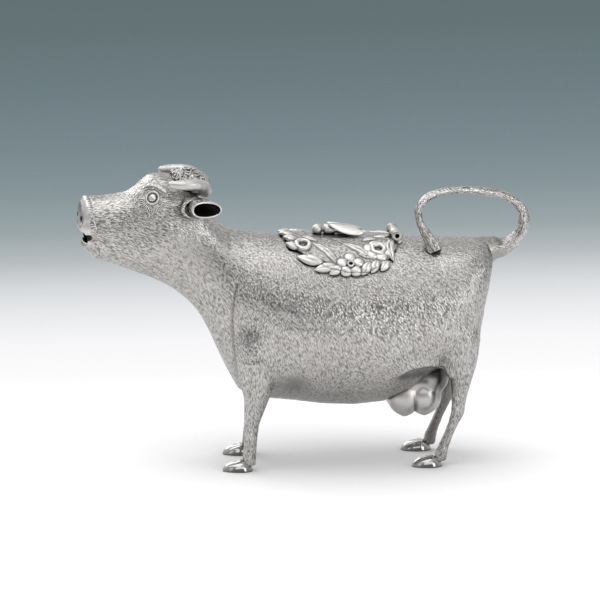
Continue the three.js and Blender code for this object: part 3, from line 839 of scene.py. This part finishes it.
def make_fly():
    z = 77.7
    head = [
        (0.05, 2.7), (0.45, 2.74), (1.1, 3.05), (1.55, 3.6), (1.82, 4.2), (1.85, 4.7), (1.65, 5.4),
        (1.2, 5.85),
    ]
    thorax = [
        (0.8, 6.1), (0.72, 6.3), (0.85, 6.5), (1.5, 6.75), (1.75, 7.3), (1.85, 8.2), (1.8, 9.2), (1.6, 10.0),
    ]
    tail = [
        (1.25, 10.6), (1.35, 11.2), (1.5, 12.2), (1.42, 12.5), (1.5, 12.8), (1.42, 13.8), (1.34, 14.1),
        (1.38, 14.4), (1.2, 15.6), (1.1, 15.8), (1.1, 16.1), (0.7, 17.6), (0.3, 18.4), (0.05, 18.6),
    ]
    profile = head + thorax + tail
    body = turned("fly_turned_body", profile, (0, 0, z), (1, 0, 0), 36, SATIN)
    place(body, "lid", "polished_silver", "fly_body")
    for side, sign in SIDES:
        place(fly_wing(side, sign, z), "lid", "polished_silver", "fly_wing_" + side)
    profile = [(0.02, 74.1), (1.3, 74.15), (1.6, 74.4), (1.5, 74.7), (0.7, 75), (0.7, 76.5), (0.02, 76.5)]
    rivet = turned("fly_rivet_head", profile, (8.6, 0, 0), (0, 0, 1), 28, INSIDE)
    place(rivet, "lid", "polished_silver", "fly_rivet")


def fly_wing(side, sign, z):
    """A cupped, veined teardrop of silver, closed top and bottom."""
    length, width, thick = 12.2, 4.6, 0.5
    rows, columns = 30, 17
    root = Vector((7.9, sign * 1.4, z + 1.7))
    out, down, roll = sign * 0.19, 0.23, -sign * 0.5
    lean = Matrix.Rotation(out, 3, "Z") @ Matrix.Rotation(down, 3, "Y") @ Matrix.Rotation(roll, 3, "X")
    verts = []
    for face in (1, -1):
        for r in range(rows):
            t = r / (rows - 1)
            half = width / 2 * math.sin(math.pi * min(max(t, 0.004), 0.996) ** 1.25) ** 0.62 + 0.02
            for c in range(columns):
                q = 2 * c / (columns - 1) - 1
                cup = 0.5 * (1 - q * q)
                vein = 0.035 * math.cos(q * 16) + 0.02 * math.sin(t * 22 + q * 4)
                edge = math.sqrt(max(1 - q ** 4, 0.02)) * math.sqrt(max(1 - (2 * t - 1) ** 6, 0.02))
                edge *= thick / 2
                h = cup + face * edge + (vein if face > 0 else 0) * (1 - q * q)
                verts.append(root + lean @ Vector((length * t, sign * half * q, h)))
    return solid("fly_veined_wing_" + side, verts, sheet_faces(rows, columns), BORDER)


# ---- Tail ----
TAIL = [
    (57.4, 0, 68.4, 5.7), (60.0, 0, 69.2, 5.1), (63.0, 0, 70.0, 4.2), (66.6, 0, 70.5, 3.1),
    (70.6, 0, 73.1, 2.3), (72.9, 0, 76.7, 1.95), (73.3, 0, 80.2, 1.75), (72, 0, 83.8, 1.6),
    (69, 0, 86.5, 1.45), (65, -0.3, 88.2, 1.35), (58.4, -1.2, 89.6, 1.3),
    (51.5, -3, 90.4, 1.25), (45, -5, 90.2, 1.25), (40.1, -6.5, 88.6, 1.25), (37.4, -7.6, 85.5, 1.2),
    (37.2, -8.4, 82.2, 1.2), (38.5, -9.2, 79, 1.4), (40.3, -9.9, 75.7, 2.0), (41.9, -10.6, 72.6, 2.5),
    (42.4, -10.9, 71.4, 2.2),
]


def tail_section(t, angle):
    """Hair locks running along the tail, deep in the tuft."""
    tuft = min(max((t - 0.84) / 0.12, 0), 1)
    locks = 0.5 + 0.5 * math.cos(angle * 6 + t * 9)
    return 1 - (0.05 + 0.2 * tuft) * (1 - locks ** 0.6)


def make_tail():
    path = smooth_path(TAIL, 420)
    sides = 64
    tail = swept("tail_haired", path, sides, tail_section, CHASED)
    centres = path[:, :3]
    ahead = np.gradient(centres, axis=0)

    def along_tail(where):
        nearest = ((where[:, None] - centres[None, ::6]) ** 2).sum(2).argmin(1) * 6
        return ahead[nearest]

    comb(tail.data, along_tail, length=2.2, width=0.42, height=0.09, cover=1.3, stray=0.16)
    # Painted shade on the tail's root, where it leaves the rump.
    x, _, z = points(tail.data).T
    root = ramp(x, 72, 66) * (z < 77) * (x > 50)
    set_attribute(tail.data, "tone_and_painted_shade", 0.5 * root)
    place(tail, "jug", "chased_silver", "tail_handle")


# ---- Head pieces ----
MOUTH_LEVEL = 77.7
NOSTRIL = (-74.8, 4.3, 84.0)


def muzzle_border(z):
    """Where the bare muzzle meets the hair, at a height."""
    return -72.3 + (91 - z) * 0.176


def make_muzzle():
    muzzle = skinned("muzzle_smooth", welded("muzzle"), 0.22, swell=0.05, smooth=14)
    mesh = muzzle.data
    where, facing = points(mesh), normals(mesh)
    x, y, z = where.T
    x += 0.8 * ramp(x, -72.5, -75.5)
    nostril = np.linalg.norm((one_side(where) - NOSTRIL) * (0.7, 1, 0.85), axis=1)
    above = z - MOUTH_LEVEL
    mouth = np.hypot(x + 73.6, above)
    corner = np.hypot(x + 72.5, above)  # where the mouth comes round to the side
    pocket = bell(np.hypot((x + 70.4) * 0.8, above), 1.3)
    to_border = x - muzzle_border(z)
    tuck = ramp(to_border, -0.5, 0)
    ridge = bell(to_border + 0.3, 0.8)
    lips = bell(np.abs(above) - 3.4, 1.0) * (x < -70)
    lift = 0.25 * bell(nostril - 2.2, 0.6) - 1.3 * bell(nostril, 1.4) + 0.3 * lips + 0.3 * ridge
    lift -= 0.9 * bell(corner, 1.2) + 0.5 * pocket
    where = where + facing * lift[:, None] + tuck[:, None] * (1.1, 0, 0)
    x, y, z = where.T
    z -= 0.5 * bell(np.abs(above) - 2.2, 1.1) * np.sign(above)
    set_points(mesh, where)
    haired = (z < 75.7) | (x > -72.6 + (91 - z) * 0.09)
    comb(mesh, side_flow, allowed=haired, length=1.4, width=0.4, height=0.12)
    inside = (mouth < 3.6) & (facing[:, 1] * np.sign(y) < 0.3) & (np.abs(above) < 2.3)
    # Painted shade in the nostrils, inside the mouth and in the pockets at its corners, and on the upper
    # front of the muzzle.
    tone_and_painted_shade = 0.95 * bell(nostril, 1.9) + 0.95 * inside + 0.45 * pocket
    tone_and_painted_shade += 0.45 * ramp(-facing[:, 0], 2 / 3, 1) * ramp(z, 83, 87)
    set_attribute(mesh, "tone_and_painted_shade", np.clip(tone_and_painted_shade, 0, 0.95))
    for material in (SATIN, CHASED, PAINTED_SHADE_BLACK):
        mesh.materials.append(material)
    # The nostrils, the inside of the mouth and its corners take the near-black painted-shade silver.
    dark = (nostril < 1.25) | inside | (corner < 1.4)
    faces = [list(p.vertices) for p in mesh.polygons]
    mesh.polygons.foreach_set("material_index", [2 if dark[f].all() else int(haired[f].all()) for f in faces])
    place(muzzle, "jug", "polished_silver", "muzzle")


def outward_flow(centre):
    """Hair that runs away from a point."""
    return lambda where: where - np.array(centre)


# An ear's sections from its root out over the rim and down inside: x, y, z, half length and half height.
EAR = [
    (-39.8, 7.6, 88.9, 2.2, 2.4), (-39.0, 10.4, 88.9, 2.9, 2.7), (-37.8, 12.8, 88.8, 3.9, 3.0),
    (-36.4, 14.8, 88.7, 4.8, 3.05), (-35.2, 16.4, 88.4, 5.2, 2.9), (-34.7, 17.4, 88.3, 5.2, 2.75),
    (-34.6, 17.7, 88.3, 4.95, 2.5), (-34.6, 17.5, 88.3, 4.6, 2.2), (-34.8, 16.6, 88.3, 4.35, 2.0),
    (-35.6, 15.0, 88.7, 3.9, 1.9), (-36.8, 13.2, 88.8, 3.0, 1.7), (-37.8, 11.6, 88.9, 1.8, 1.2),
    (-38.2, 10.9, 88.9, 0.2, 0.2),
]
EAR_RIM = 0.5  # how far along the sections the inside begins


def make_ear(side, sign):
    """A cup, drawn out towards its tip, with a bright rim and a dark inside of painted shade."""
    rows = smooth_path(EAR, 130)
    sides = 110
    verts = []
    for x, y, z, long, high in rows:
        for angle in turns(sides):
            reach = 1 + 0.1 * math.cos(angle) - 0.05 * math.cos(2 * angle)
            verts.append((x + long * reach * math.cos(angle), sign * y, z + high * math.sin(angle)))
    ear = solid("ear_cupped_" + side, verts, ring_faces(len(rows), sides), CHASED)
    mesh = ear.data
    row = np.arange(len(mesh.vertices)) // sides
    rim = EAR_RIM * len(rows)
    comb(mesh, outward_flow((-41, sign * 8, 89)), allowed=row < rim - 0.12 * len(rows), length=1.5, width=0.4,
         height=0.12)
    mesh.materials.append(POLISHED)
    mesh.materials.append(PAINTED_SHADE_BLACK)
    # The inside of the cup takes the near-black painted-shade silver, its edge the polished silver.
    first = np.array([min(p.vertices) // sides for p in mesh.polygons])
    inside, edge = first > rim + 0.08 * len(rows), first > rim - 0.13 * len(rows)
    mesh.polygons.foreach_set("material_index", np.select([inside, edge], [2, 1], 0))
    # Painted shade on the outside of the cup towards its front.
    x, y, _ = points(mesh).T
    front = ramp(x, -37.5, -39.5) * bell(np.abs(y) - 15.2, 1.4)
    set_attribute(mesh, "tone_and_painted_shade", 0.9 * front * (row < rim))
    place(ear, "jug", "chased_silver", "ear_" + side)
    collar = []
    for i in range(41):
        angle = math.radians(95 + 165 * i / 40)
        x, y = -35.9 + 5.9 * math.cos(angle), 13.9 - 1.2 * math.cos(angle)
        collar.append((x, sign * y, 88.3 + 3.5 * math.sin(angle), 0.75 * taper(i, 41)))
    wire("ear_collar_" + side, collar, 14, CHASED)


def make_head(bare):
    for side, sign in SIDES:
        make_ear(side, sign)
        make_horn(side, sign)
        make_eye(side, sign, bare)
    make_crest()


HORN = [
    (-33.4, 6.4, 92.6, 2.2), (-34.6, 10.6, 95.0, 2.05), (-37.6, 13.4, 96.0, 1.95), (-41.6, 14.6, 96.2, 1.75),
    (-44.6, 14.2, 96.3, 1.4), (-46.0, 13.7, 96.4, 0.95), (-46.6, 13.5, 96.4, 0.3),
]


def make_horn(side, sign):
    path = smooth_path([(x, sign * y, z, radius) for x, y, z, radius in HORN], 90)

    def rings(t, angle):
        ring = 0.5 + 0.5 * math.cos(t * 70 + math.sin(angle * 2))
        return 1 - 0.05 * ring * (1 - t) - 0.03 * math.cos(angle * 5)

    horn = swept("horn_ringed_" + side, path, 40, rings, SATIN)
    # Painted shade on the horn's underside, over a slightly darker tone all over.
    below = ramp(-normals(horn.data)[:, 2], 0.2, 1.2)
    set_attribute(horn.data, "tone_and_painted_shade", 0.1 + 0.5 * below)
    place(horn, "jug", "polished_silver", "horn_" + side)


def on_head(bare, x, z, sign, height=0.0):
    """The point on the side of the head at x and z, and the normal there."""
    hit, normal, _, _ = bare.ray_cast(Vector((x, sign * 40, z)) * MM, Vector((0, -sign, 0)))
    return hit / MM + normal * height, normal


LASHES = 20


def make_eye(side, sign, bare):
    """A bead in a ring, with two lids above it and lashes under it."""
    spot, normal = on_head(bare, *EYE, sign)
    ball = [(0.02, 1.1), (0.5, 1.06), (0.95, 0.92), (1.25, 0.65), (1.42, 0.3), (1.45, 0.0)]
    ring = [
        (1.66, 0.0), (1.74, 0.4), (2.0, 0.6), (2.3, 0.58), (2.5, 0.35), (2.6, -0.2), (2.6, -1.2),
        (0.02, -1.2),
    ]
    eye = turned("eye_beaded_" + side, ball + ring, spot, normal, 48, SATIN)
    place(eye, "jug", "polished_silver", "eye_" + side)
    arcs = [(3.2, 25, 155, 0.3), (3.8, 40, 140, 0.25)]
    for k, (radius, start, stop, thick) in enumerate(arcs):
        rows = []
        for i in range(25):
            angle = math.radians(start + (stop - start) * i / 24)
            point, _ = on_head(bare, *polar((EYE[0], EYE[1] - 0.2), radius, angle), sign, 0.1)
            rows.append((*point, thick * taper(i, 25)))
        wire(f"eyelid_{side}_{k}", rows, 10, CHASED)
    for k in range(LASHES):
        angle = math.radians(185 + 160 * k / (LASHES - 1))
        rows = []
        for i in range(7):
            radius = 2.8 + 1.6 * i / 6
            point, _ = on_head(bare, *polar((EYE[0], EYE[1] - 0.1), radius, angle), sign, 0.14)
            rows.append((*point, 0.2 * taper(i, 7, 1)))
        wire(f"lash_{side}_{k}", rows, 8, BORDER)


def make_crest():
    """Curls and leaves across the poll, on a mound of hair."""
    voxel = 0.25
    crest = skinned("crest_mound", welded("poll_garland"), voxel, swell=0.1, smooth=14, material=CHASED)
    comb(crest.data, outward_flow((-39, 0, 92)), length=3.6, width=1.1, height=0.5, cover=1.6, stray=0.6)
    tree = BVHTree.FromObject(crest, bpy.context.evaluated_depsgraph_get())
    place(crest, "jug", "chased_silver", "poll_garland")
    curls = [
        (-43.6, 3.4, 0.4), (-42.6, 6.8, 1.2), (-39.2, 4.6, 2.0), (-36.0, 3.2, 2.8), (-34.2, 6.2, 3.5),
        (-38.4, 0.0, 0.2),
    ]
    for k, (x, y, start) in enumerate(curls):
        for sign in (-1, 1) if y else (1,):
            rows = []
            for i in range(34):
                t = i / 33
                angle = start + 8.0 * t
                along, across = polar((x, y), 1.9 * (1 - 0.75 * t), angle)
                spot = Vector((along, sign * across, 110)) * MM
                hit, normal, _, _ = tree.ray_cast(spot, Vector((0, 0, -1)))
                if hit is None:
                    hit, normal, _, _ = tree.find_nearest(Vector((spot.x, spot.y, 95 * MM)))
                rows.append((*(hit / MM + normal * 0.15), 0.5 * math.sin(math.pi * (i + 1) / 36) ** 0.4))
            side = "left" if sign < 0 else "right"
            wire(f"curl_{k}_{side}", rows, 12, CHASED, lambda t, angle: 1 - 0.16 * abs(math.cos(angle * 2)))


# ---- Hooves and udder ----
def make_hooves():
    """Long lens-shaped hooves, cleft in front, drawn to a point."""
    for node, (x, sign) in {
        "fore_hoof_left": (-22.9, -1), "fore_hoof_right": (-19.5, 1),
        "hind_hoof_left": (40.0, -1), "hind_hoof_right": (40.0, 1),
    }.items():
        rows, columns = 16, 56
        verts = []
        for r in range(rows):
            rise = r / (rows - 1) * math.pi / 2
            shrink, height = math.cos(rise) ** 0.85, 3.7 * math.sin(rise) ** 1.1
            for angle in turns(columns):
                forward = -math.cos(angle)
                reach = 5.9 if forward > 0 else 4.3
                side = math.sin(angle) * 3.9 * (1 - 0.16 * max(forward, 0) ** 2)
                cleft = 0.5 * math.exp(-((math.sin(angle) / 0.14) ** 2)) * max(forward, 0)
                z = 0.02 + height * (1 - 0.12 * max(forward, 0))
                verts.append((x - shrink * (reach * forward - cleft), sign * 14 + shrink * side, z))
        hoof = solid(node + "_cleft", verts, ring_faces(rows, columns), POLISHED)
        # Painted shade on the steep sides, over a darker tone all over.
        steep = np.clip(1 - 1.4 * normals(hoof.data)[:, 2], 0, 1)
        set_attribute(hoof.data, "tone_and_painted_shade", 0.25 + 0.45 * steep)
        place(hoof, "jug", "polished_silver", node)


# The udder's round masses: centre and radii, each on both sides.
UDDER = [
    ((33.2, 4.4, 21.5), (5.9, 5.4, 6.2)),
    ((39.5, 4.4, 21.5), (5.8, 5.4, 6.0)),
    ((35.6, 1.8, 26.6), (9.2, 7.0, 7.2)),
    ((41.8, 2.6, 28.0), (6.2, 7.2, 6.4)),
]


def make_udder():
    """A full bag with four quarters, run together and smoothed."""
    work = bmesh.new()
    for centre, radii in UDDER:
        for sign in (-1, 1):
            at = Vector((centre[0], sign * centre[1], centre[2])) * MM
            matrix = Matrix.Translation(at) @ Matrix.Diagonal((*(Vector(radii) * MM), 1))
            bmesh.ops.create_icosphere(work, subdivisions=4, radius=1, matrix=matrix)
    masses = mesh_from(work, "udder_masses")
    udder = skinned("udder_quarters", masses, 0.35, smooth=32, material=SATIN)
    mesh = udder.data
    where, facing = points(mesh), normals(mesh)
    x, _, z = where.T
    tips = [(32.9, 4.4, 15.6), (39.7, 4.4, 15.6)]
    teats = sum(bell(np.linalg.norm(one_side(where) - tip, axis=1), 1.3) for tip in tips)
    cleft = bell(x - 36.3, 0.55) * ramp(z, 24, 19)
    set_points(mesh, where + facing * (0.45 * teats - 0.5 * cleft)[:, None])
    # Painted shadow under the flank and where the bag meets the hind leg, painted shade in the cleft between
    # the quarters and in the fold above them, and a slightly darker tone all over.
    under_flank = ramp(z, 24, 32) * ramp(x, 29, 35)
    under_flank += 1.3 * near_line(where, [(41, 34), (46, 30), (46, 23)], 3.2)
    fold = near_line(where, [(33, 27), (39.5, 27.4)], 0.9)
    set_attribute(mesh, "tone_and_painted_shade", np.clip(0.08 + 0.7 * cleft + 0.6 * under_flank + 0.5 * fold, 0, 0.85))
    place(udder, "jug", "polished_silver", "udder")


# ---- Stage, light and camera ----
# The floor's colour by how far behind the jug it is, in m: matt white, then a self-lit shade up to blue-grey.
FLOOR_SHADE = [
    (0.0, (1.0, 1.0, 1.0)), (0.137, (0.99, 0.98, 0.99)), (0.21, (0.93, 0.93, 0.945)),
    (0.263, (0.81, 0.82, 0.84)), (0.31, (0.67, 0.69, 0.71)), (0.358, (0.47, 0.50, 0.52)),
    (0.41, (0.33, 0.385, 0.40)), (0.484, (0.245, 0.305, 0.325)), (0.568, (0.195, 0.252, 0.275)),
    (0.674, (0.158, 0.212, 0.232)), (0.80, (0.130, 0.178, 0.186)), (0.88, (0.12, 0.165, 0.175)),
]
FLOOR_REACH = 9  # half the floor's width, m


def floor_material():
    material = bpy.data.materials.new("floor")
    material.use_nodes = True
    tree = material.node_tree
    matt = tree.nodes["Principled BSDF"]
    matt.inputs["Roughness"].default_value = 0.9
    matt.inputs["Emission Color"].default_value = (1, 1, 1, 1)
    matt.inputs["Emission Strength"].default_value = 0.05
    # Painted shadow: the matt floor turns grey under and round the jug, where it is hemmed in.
    open_sky = add_node(tree, "AmbientOcclusion", {"Distance": 0.1}, samples=8)
    lit = spread(tree, open_sky.outputs["AO"], 0.4, 0.97)
    white = mixed_color(tree, lit, (0.60, 0.595, 0.595), (0.95, 0.945, 0.945))
    tree.links.new(white, matt.inputs["Base Color"])
    place_at = add_node(tree, "NewGeometry").outputs["Position"]
    behind = add_node(tree, "SeparateXYZ", {"Vector": place_at}).outputs["Y"]
    farthest = FLOOR_SHADE[-1][0]
    grades = [(distance / farthest, color) for distance, color in FLOOR_SHADE]
    shade = graded_color(tree, math_node(tree, "DIVIDE", behind, farthest), grades)
    glow = add_node(tree, "Emission", {"Color": shade})
    share = spread(tree, behind, 0.06, 0.16, curve="SMOOTHSTEP")
    shaders = {"Fac": share, 1: matt.outputs["BSDF"], 2: glow.outputs["Emission"]}
    mixed = add_node(tree, "MixShader", shaders)
    tree.links.new(mixed.outputs["Shader"], tree.nodes["Material Output"].inputs["Surface"])
    return material


def make_stage():
    reach = FLOOR_REACH / MM
    corners = [(-reach, -reach, 0), (reach, -reach, 0), (reach, reach, 0), (-reach, reach, 0)]
    mesh_object("floor", corners, [(0, 1, 2, 3)], floor_material())


def area_light(name, where, towards, size, power):
    light = bpy.data.lights.new(name, "AREA")
    light.shape = "RECTANGLE"
    light.size, light.size_y = size
    light.energy = power
    obj = new_object(name, light)
    obj.location = where
    obj.rotation_euler = (Vector(towards) - Vector(where)).to_track_quat("-Z", "Y").to_euler()
    obj.visible_camera = False


def make_light():
    """An even room, brighter overhead, with soft boxes above, to the left and behind."""
    world = bpy.data.worlds.new("studio")
    bpy.context.scene.world = world
    world.use_nodes = True
    tree = world.node_tree
    background = tree.nodes["Background"]
    towards = add_node(tree, "TexCoord").outputs["Generated"]
    split = add_node(tree, "SeparateXYZ", {"Vector": towards})
    greys = ((0.3, 0.68), (0.5, 0.68), (0.75, 0.66))
    middle = [(height, (grey, grey, grey * 1.01)) for height, grey in greys]
    grades = [(0.0, (0.70, 0.705, 0.71))] + middle + [(1.0, (0.95, 0.95, 0.95))]
    tree.links.new(graded_color(tree, split.outputs["Z"], grades), background.inputs["Color"])
    strength = spread(tree, split.outputs["Y"], -0.9, 0.3, 0.46, 1.25)
    tree.links.new(strength, background.inputs["Strength"])
    area_light("overhead softbox", (-0.15, -0.1, 0.75), (0, 0, 0.05), (0.8, 0.6), 1.9)
    area_light("rear softbox", (-0.3, 0.75, 0.5), (-0.03, 0, 0.08), (0.5, 0.35), 1.6)
    area_light("left softbox", (-0.75, -0.5, 0.5), (0, 0, 0.05), (0.3, 0.5), 0.35)
    area_light("right fill", (0.6, -0.7, 0.3), (0, 0, 0.05), (0.3, 0.5), 1.5)
    area_light("front softbox", (0.05, -0.62, 0.55), (0, 0, 0.05), (0.9, 0.35), 1.3)


def make_camera():
    azimuth, elevation, distance = math.radians(-7.2), math.radians(11.0), 6.0
    target = Vector((-0.0012, 0, 0.0541))
    level = math.cos(elevation)
    away = Vector((math.sin(azimuth) * level, -math.cos(azimuth) * level, math.sin(elevation)))
    data = bpy.data.cameras.new("camera")
    camera = new_object("camera", data)
    camera.location = target + away * distance
    camera.rotation_euler = (-away).to_track_quat("-Z", "Y").to_euler()
    frame_width = 0.198  # what the picture spans at the jug
    data.lens = data.sensor_width * distance / frame_width
    bpy.context.scene.camera = camera
    bpy.context.scene.view_settings.view_transform = "Standard"


make_camera()
make_light()
make_stage()
bare_coat = make_coat()
make_lid(bare_coat)
make_hinge()
make_fly()
make_tail()
make_muzzle()
make_head(bare_coat)
make_hooves()
make_udder()
